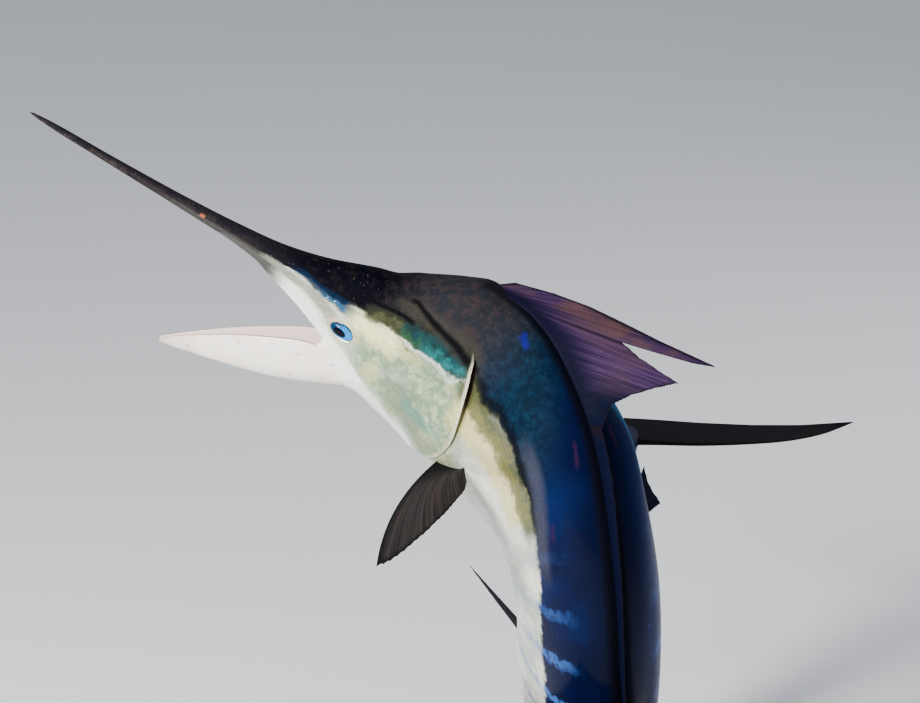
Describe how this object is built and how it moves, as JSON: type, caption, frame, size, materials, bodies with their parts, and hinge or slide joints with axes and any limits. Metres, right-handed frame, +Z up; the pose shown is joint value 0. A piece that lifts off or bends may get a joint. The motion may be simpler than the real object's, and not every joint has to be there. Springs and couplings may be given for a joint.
{
  "type": "striped marlin display model",
  "caption": "Life-size still model of a striped marlin leaping with its mouth open, bent in a deep curve and held on a plain stand by short rods.",
  "frame": {"origin": "centre of the underside of the stand's base", "axes": "+Z up, +Y away from the viewer of the picture, +X to that viewer's right; the bill points to -X and up"},
  "size_m": [1.435, 1.5802, 1.2683],
  "materials": {
    "bill": "satin, fine lengthwise grain",
    "head_skin": "glossy, dark above, silver below",
    "jaw_skin": "glossy, pale",
    "cheek_skin": "glossy, silver green",
    "eye": "high gloss",
    "body_skin": "glossy, deep blue above, cream below",
    "dorsal_fin": "satin, raised rays",
    "dark_fin": "satin, raised rays",
    "stand_base": "black stain, satin",
    "stand_rod": "brushed"
  },
  "bodies": {
    "root": {"bill": "bill", "head": "head_skin", "lower_jaw": "jaw_skin", "gill_cover_left": "cheek_skin", "gill_cover_right": "cheek_skin", "eye_left": "eye", "eye_right": "eye", "trunk_front": "body_skin", "trunk_middle": "body_skin", "trunk_rear": "body_skin", "tail_stock": "body_skin", "peduncle": "body_skin", "dorsal_front_lobe": "dorsal_fin", "dorsal_second_lobe": "dorsal_fin", "dorsal_low_front": "dorsal_fin", "dorsal_low_rear": "dorsal_fin", "second_dorsal": "dark_fin", "first_anal": "dark_fin", "second_anal": "dark_fin", "pectoral_left": "dark_fin", "pectoral_right": "dark_fin", "pelvic_left": "dark_fin", "pelvic_right": "dark_fin", "caudal_upper": "dark_fin", "caudal_lower": "dark_fin", "stand_base": "stand_base", "stand_rod_front": "stand_rod", "stand_rod_rear": "stand_rod"}
  },
  "joints": []
}
